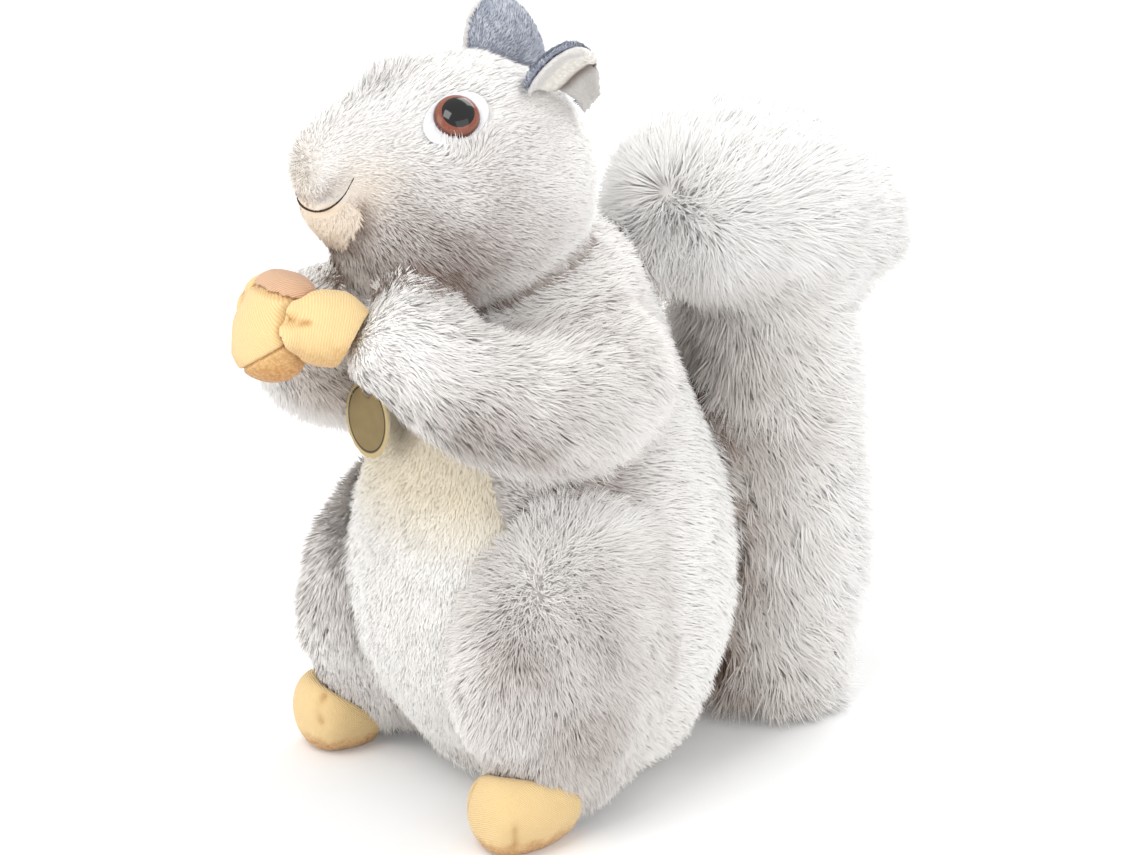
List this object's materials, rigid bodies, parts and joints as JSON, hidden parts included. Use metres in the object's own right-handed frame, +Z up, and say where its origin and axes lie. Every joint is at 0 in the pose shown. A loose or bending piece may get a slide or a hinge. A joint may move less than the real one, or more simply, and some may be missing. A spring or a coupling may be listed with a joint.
{
  "type": "plush squirrel",
  "caption": "Sitting plush squirrel with a tall bushy tail, cupped ears and glossy eyes, holding a stuffed acorn to its chest.",
  "frame": {"origin": "middle of the flat seat under the torso, on the surface that the squirrel sits on", "axes": "+Z up, the squirrel faces -Y and its left side is +X"},
  "size_m": [0.1284, 0.2502, 0.2487],
  "materials": {
    "frosted_plush": "long frosted pile, grey-brown roots and near-white tips",
    "cream_plush": "dense cream pile",
    "slate_plush": "short blue-grey pile",
    "pale_velboa": "very short pale pile",
    "yellow_velour": "ribbed short-nap velour",
    "tan_velour": "ribbed short-nap velour",
    "white_felt": "matte felt",
    "eye_plastic": "glossy, brown ring round a black pupil",
    "white_nylon": "satin",
    "dark_thread": "embroidery thread",
    "gold_card": "satin printed card"
  },
  "bodies": {
    "root": {"torso": "frosted_plush", "belly_panel": "cream_plush", "head": "frosted_plush", "chin_panel": "cream_plush", "mouth_stitch": "dark_thread", "ear_back_left": "slate_plush", "ear_back_right": "slate_plush", "ear_lining_left": "pale_velboa", "ear_lining_right": "pale_velboa", "eye_left": "eye_plastic", "eye_right": "eye_plastic", "eye_washer_left": "white_nylon", "eye_washer_right": "white_nylon", "eye_felt_left": "white_felt", "eye_felt_right": "white_felt", "arm_left": "frosted_plush", "arm_right": "frosted_plush", "hand_left": "yellow_velour", "hand_right": "yellow_velour", "leg_left": "frosted_plush", "leg_right": "frosted_plush", "foot_left": "yellow_velour", "foot_right": "yellow_velour", "tail": "frosted_plush", "acorn_nut": "yellow_velour", "acorn_cap": "tan_velour", "neck_tag": "gold_card", "tag_fastener": "white_nylon"}
  },
  "joints": []
}
